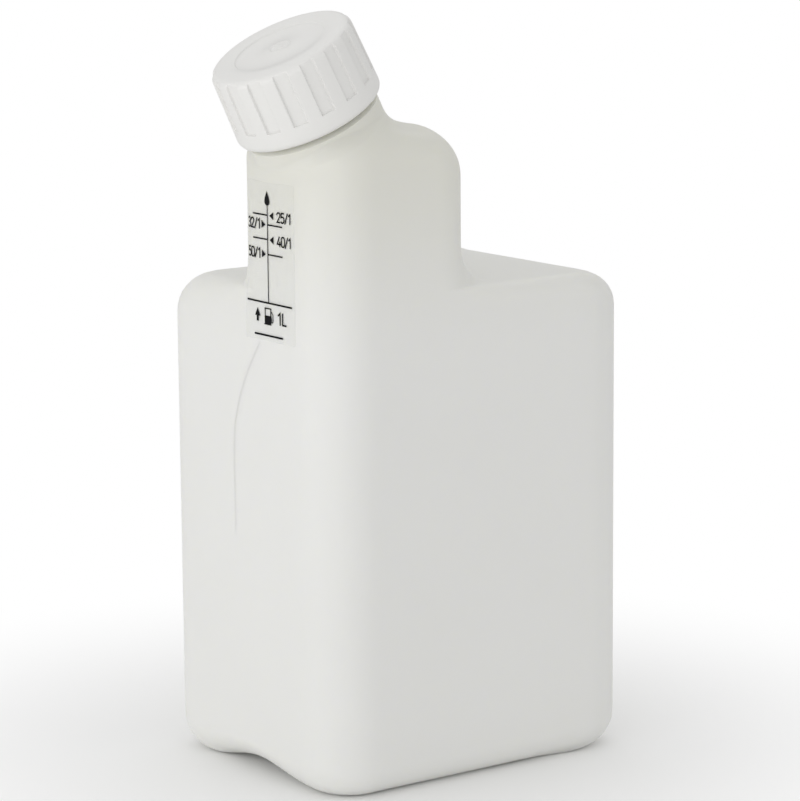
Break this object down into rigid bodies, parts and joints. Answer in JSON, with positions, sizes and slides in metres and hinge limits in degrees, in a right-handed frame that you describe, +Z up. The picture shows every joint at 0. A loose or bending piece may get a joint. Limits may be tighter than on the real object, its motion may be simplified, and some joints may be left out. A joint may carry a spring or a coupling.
{
  "type": "fuel mixing bottle",
  "caption": "Square blow-moulded one litre bottle with a narrow measuring tower, a mixing scale and a tilted neck with a ribbed screw cap.",
  "frame": {"origin": "middle of the footprint, on the ground plane", "axes": "+Z up, -Y is the broad face's normal, -X is the scale face's normal and the side the neck leans to"},
  "size_m": [0.1162, 0.0816, 0.204],
  "materials": {
    "natural_hdpe": "satin, translucent",
    "white_plastic": "satin",
    "foam_seal": "matte",
    "clear_film": "gloss"
  },
  "bodies": {
    "bottle_body": {"bottle": "natural_hdpe", "scale_label": "clear_film"},
    "seal": {"cap_liner": "foam_seal"},
    "screw_cap": {"cap": "white_plastic"}
  },
  "joints": [
    {"name": "cap_lift", "type": "slide", "parent": "bottle_body", "child": "seal", "axis": [-0.4555, 0, 0.8902], "range_m": [0, 0.0211]},
    {"name": "cap_turn", "type": "hinge", "parent": "seal", "child": "screw_cap", "pos_m": [-0.03193, -0.0185, 0.1771], "axis": [-0.4555, 0, 0.8902], "range_deg": [0, 1800]}
  ],
  "couplings": [
    {"joint": "cap_lift", "follows": "cap_turn", "m_per_rad": 0.00066845}
  ]
}
